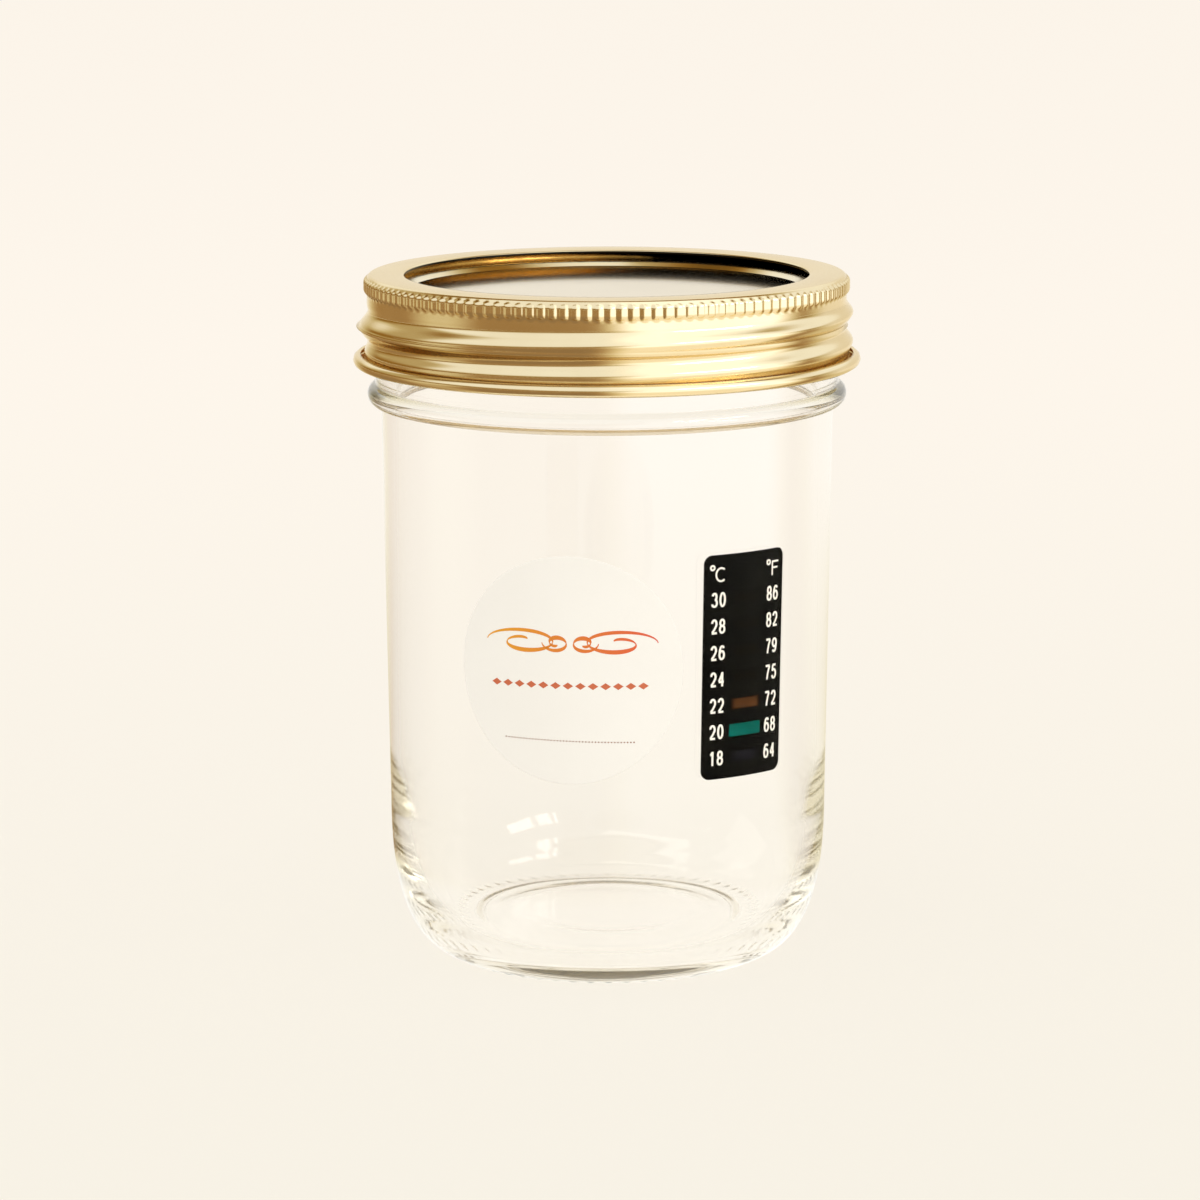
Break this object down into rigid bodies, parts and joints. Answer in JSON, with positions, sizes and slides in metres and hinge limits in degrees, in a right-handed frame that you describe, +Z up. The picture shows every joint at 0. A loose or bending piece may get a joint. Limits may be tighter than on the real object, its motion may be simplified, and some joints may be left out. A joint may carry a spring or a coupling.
{
  "type": "preserving jar",
  "caption": "Straight clear-glass preserving jar with a two-piece screw closure, a round paper label and a stick-on liquid-crystal thermometer strip.",
  "frame": {"origin": "centre of the ring that the jar stands on", "axes": "+Z up along the jar's axis; the label and the thermometer strip face -Y, with the strip towards +X"},
  "size_m": [0.0918, 0.0918, 0.1245],
  "materials": {
    "clear_glass": "clear soda-lime glass",
    "gold_tinplate": "satin gold lacquer on tinplate",
    "sealing_compound": "matt",
    "label_paper": "matt off-white paper",
    "adhesive": "clear adhesive",
    "clear_film": "clear polyester film",
    "liquid_crystal": "liquid-crystal ink",
    "black_ink": "black ink"
  },
  "bodies": {
    "glass": {"jar": "clear_glass", "label_face": "label_paper", "label_adhesive": "adhesive", "thermometer_film": "clear_film", "crystal_windows": "liquid_crystal", "black_backing": "black_ink", "strip_adhesive": "adhesive"},
    "lid": {"lid_disc": "gold_tinplate", "sealing_ring": "sealing_compound"},
    "band": {"screw_band": "gold_tinplate"}
  },
  "joints": [
    {"name": "lid_lift", "type": "slide", "parent": "glass", "child": "lid", "axis": [0, 0, 1], "range_m": [0, 0.01905]},
    {"name": "band_turn", "type": "hinge", "parent": "lid", "child": "band", "pos_m": [0, 0, 0.1245], "axis": [0, 0, 1], "range_deg": [0, 1080]}
  ],
  "couplings": [
    {"joint": "lid_lift", "follows": "band_turn", "m_per_rad": 0.0010106}
  ]
}
